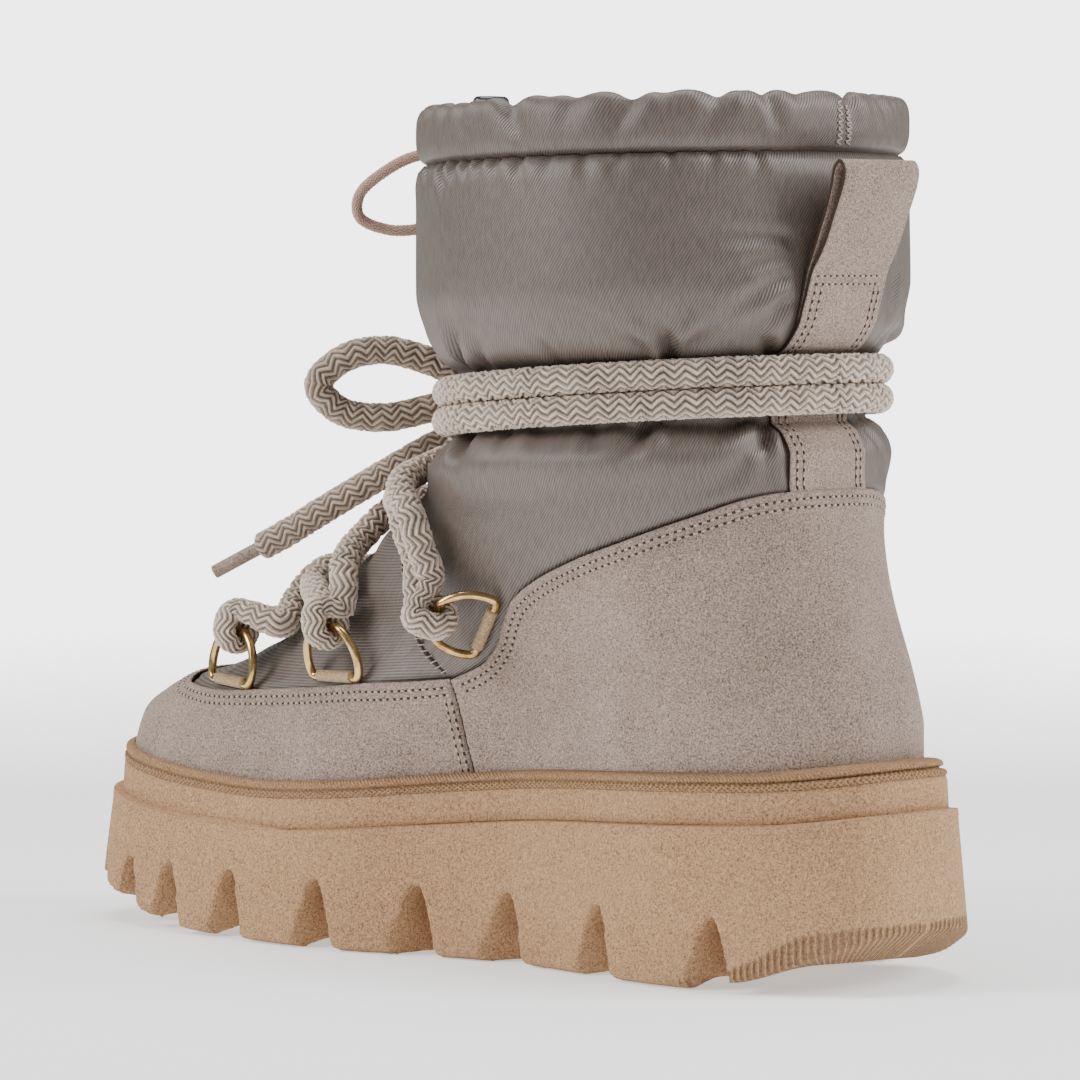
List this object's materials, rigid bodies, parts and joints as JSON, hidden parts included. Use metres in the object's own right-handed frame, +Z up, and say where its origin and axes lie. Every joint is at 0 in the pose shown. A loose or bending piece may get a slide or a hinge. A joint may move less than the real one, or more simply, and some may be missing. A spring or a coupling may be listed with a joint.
{
  "type": "winter ankle boot",
  "caption": "Right winter ankle boot: padded nylon upper with suede guard and counter, lugged foam sole, rope lace through D-rings, gathered drawcord collar and rear pull loop.",
  "frame": {"origin": "on the ground under the middle of the sole's bounding box", "axes": "-X towards the toe, +X towards the heel, -Y the inner (big toe) side, +Y the outer side, +Z up the shaft"},
  "size_m": [0.2836, 0.134, 0.2348],
  "materials": {
    "sole_foam": "matt, finely speckled",
    "nylon": "satin twill",
    "suede": "napped suede",
    "rope": "braided, matt",
    "thin_cord": "braided, matt",
    "lining": "brushed",
    "ring_metal": "antique gold, polished",
    "lock_plastic": "gloss black"
  },
  "bodies": {
    "root": {"outsole": "sole_foam", "midsole": "sole_foam", "welt": "sole_foam", "insole": "lining", "upper": "nylon", "toe_guard": "suede", "heel_counter": "suede", "collar_casing": "nylon", "pull_strap": "suede", "panel_seam_inner": "nylon", "panel_seam_outer": "nylon", "lace_loop_inner": "rope", "lace_loop_outer": "rope", "lace_end_inner": "rope", "lace_end_outer": "rope", "aglet_inner": "rope", "aglet_outer": "rope", "lace_crossings": "rope", "lace_knot": "rope", "cord_lock": "lock_plastic", "drawcord_loop": "thin_cord", "d_ring_inner_1": "ring_metal", "ring_tab_inner_1": "suede", "d_ring_inner_2": "ring_metal", "ring_tab_inner_2": "suede", "d_ring_inner_3": "ring_metal", "ring_tab_inner_3": "suede", "d_ring_outer_1": "ring_metal", "ring_tab_outer_1": "suede", "d_ring_outer_2": "ring_metal", "ring_tab_outer_2": "suede", "d_ring_outer_3": "ring_metal", "ring_tab_outer_3": "suede"}
  },
  "joints": []
}
